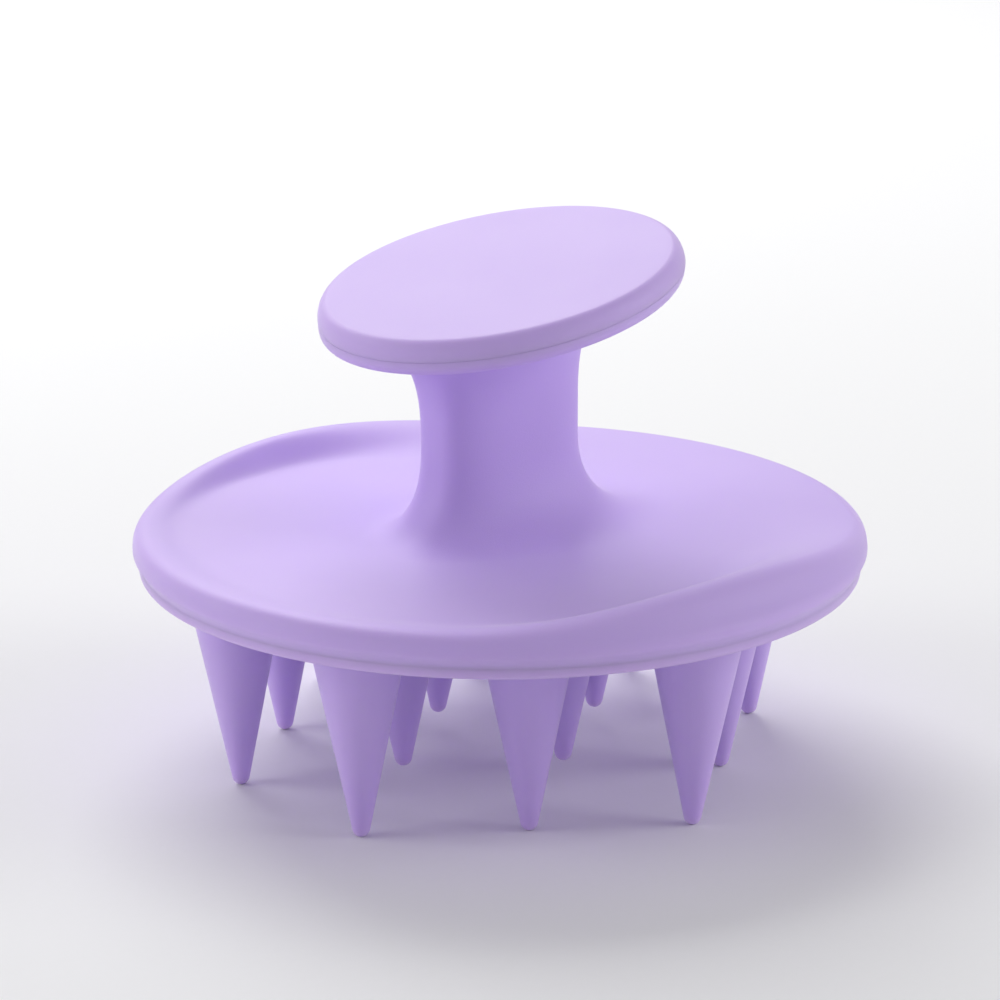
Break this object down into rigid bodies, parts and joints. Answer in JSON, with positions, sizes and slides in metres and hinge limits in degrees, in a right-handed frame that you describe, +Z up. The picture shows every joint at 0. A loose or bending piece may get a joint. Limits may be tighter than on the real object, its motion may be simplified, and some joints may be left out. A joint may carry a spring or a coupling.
{
  "type": "scalp massager brush",
  "caption": "Hand-held scalp massager: tilted oval knob on a short oval stem, round disc with two raised finger lips, soft pad of tapered teeth underneath.",
  "frame": {"origin": "on the disc's axis, at the level of the longest tooth tips", "axes": "+Z up along the stem, +X towards the high side of the tilted knob, finger lips at +Y and -Y"},
  "size_m": [0.085, 0.085, 0.0617],
  "materials": {
    "handle": "soft-touch matte lilac",
    "silicone": "matte lilac silicone",
    "core": "unpainted natural plastic, hidden inside"
  },
  "bodies": {
    "root": {"handle_body": "handle", "knob_cap": "handle", "handle_core": "core", "tooth_pad": "silicone", "outer_teeth": "silicone", "inner_teeth": "silicone"}
  },
  "joints": []
}
